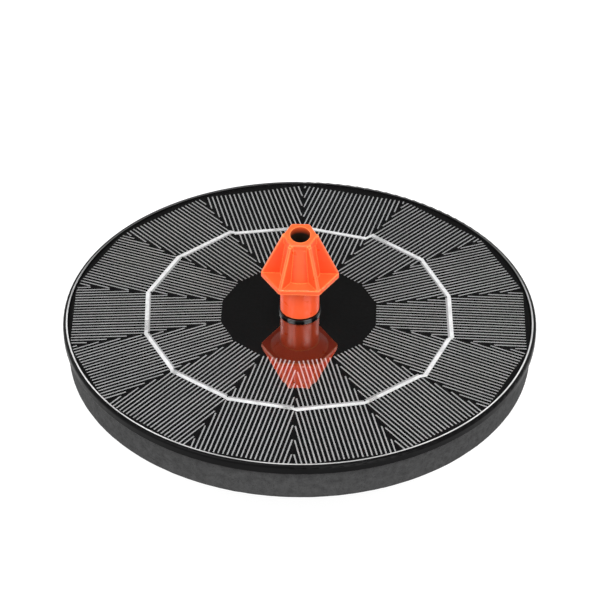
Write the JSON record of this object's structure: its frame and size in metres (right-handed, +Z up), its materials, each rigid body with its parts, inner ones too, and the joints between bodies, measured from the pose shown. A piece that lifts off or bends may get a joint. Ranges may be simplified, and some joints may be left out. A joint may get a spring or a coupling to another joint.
{
  "type": "fountain submersible pump",
  "caption": "Floating solar fountain: round panel of trapezoidal cells on a foam ring, pull-off spray nozzle on top and a small submersible pump hung below.",
  "frame": {"origin": "on the floor under the middle of the round panel, level with the undersides of the pump's feet", "axes": "+Z up along the spray axis; -Y is the front, where the pump's strainer faces; +X is to the right seen from the front"},
  "size_m": [0.181, 0.181, 0.0863],
  "materials": {
    "silicon_cell": "satin",
    "tinned_ribbon": "satin",
    "black_plastic": "gloss",
    "backing": "satin",
    "clear_cover": "gloss",
    "grey_foam": "matte",
    "black_rubber": "satin",
    "orange_plastic": "satin",
    "white_plastic": "satin",
    "magnet": "matte",
    "carbon_bush": "satin",
    "ceramic": "polished",
    "laminated_steel": "satin",
    "copper_winding": "satin",
    "circuit_board": "satin",
    "black_resin": "gloss",
    "black_sponge": "matte",
    "steel_screw": "satin"
  },
  "bodies": {
    "float_body": {"backing_sheet": "backing", "bus_ribbon_01": "tinned_ribbon", "bus_ribbon_02": "tinned_ribbon", "bus_ribbon_03": "tinned_ribbon", "bus_ribbon_04": "tinned_ribbon", "bus_ribbon_05": "tinned_ribbon", "bus_ribbon_06": "tinned_ribbon", "bus_ribbon_07": "tinned_ribbon", "bus_ribbon_08": "tinned_ribbon", "bus_ribbon_09": "tinned_ribbon", "bus_ribbon_10": "tinned_ribbon", "bus_ribbon_11": "tinned_ribbon", "bus_ribbon_12": "tinned_ribbon", "bus_ribbon_13": "tinned_ribbon", "bus_ribbon_14": "tinned_ribbon", "cover_glass": "clear_cover", "driver_board": "circuit_board", "epoxy_potting": "black_resin", "float_ring": "grey_foam", "motor_end_cap": "black_plastic", "panel_tray": "black_plastic", "pump_gland": "black_rubber", "pump_housing": "black_plastic", "pump_screws": "steel_screw", "riser_gasket": "black_rubber", "riser_pipe": "black_plastic", "rotor_shaft": "ceramic", "rubber_feet": "black_rubber", "solar_cell_01": "silicon_cell", "solar_cell_02": "silicon_cell", "solar_cell_03": "silicon_cell", "solar_cell_04": "silicon_cell", "solar_cell_05": "silicon_cell", "solar_cell_06": "silicon_cell", "solar_cell_07": "silicon_cell", "solar_cell_08": "silicon_cell", "solar_cell_09": "silicon_cell", "solar_cell_10": "silicon_cell", "solar_cell_11": "silicon_cell", "solar_cell_12": "silicon_cell", "solar_cell_13": "silicon_cell", "solar_cell_14": "silicon_cell", "stator_coils": "copper_winding", "stator_core": "laminated_steel", "tray_gland": "black_rubber", "volute_cover": "black_plastic", "volute_o_ring": "black_rubber"},
    "rotor": {"impeller": "white_plastic", "rotor_magnet": "magnet", "rotor_bushes": "carbon_bush"},
    "spray_nozzle": {"nozzle": "orange_plastic"},
    "strainer": {"strainer_cage": "black_plastic", "filter_sponge": "black_sponge"}
  },
  "joints": [
    {"name": "rotor_spin", "type": "hinge", "parent": "float_body", "child": "rotor", "pos_m": [0.0086, 0, 0.022], "axis": [0, 1, 0], "continuous": true},
    {"name": "nozzle_pull", "type": "slide", "parent": "float_body", "child": "spray_nozzle", "axis": [0, 0, 1], "range_m": [0, 0.018]},
    {"name": "strainer_pull", "type": "slide", "parent": "float_body", "child": "strainer", "axis": [0, -1, 0], "range_m": [0, 0.014]}
  ]
}
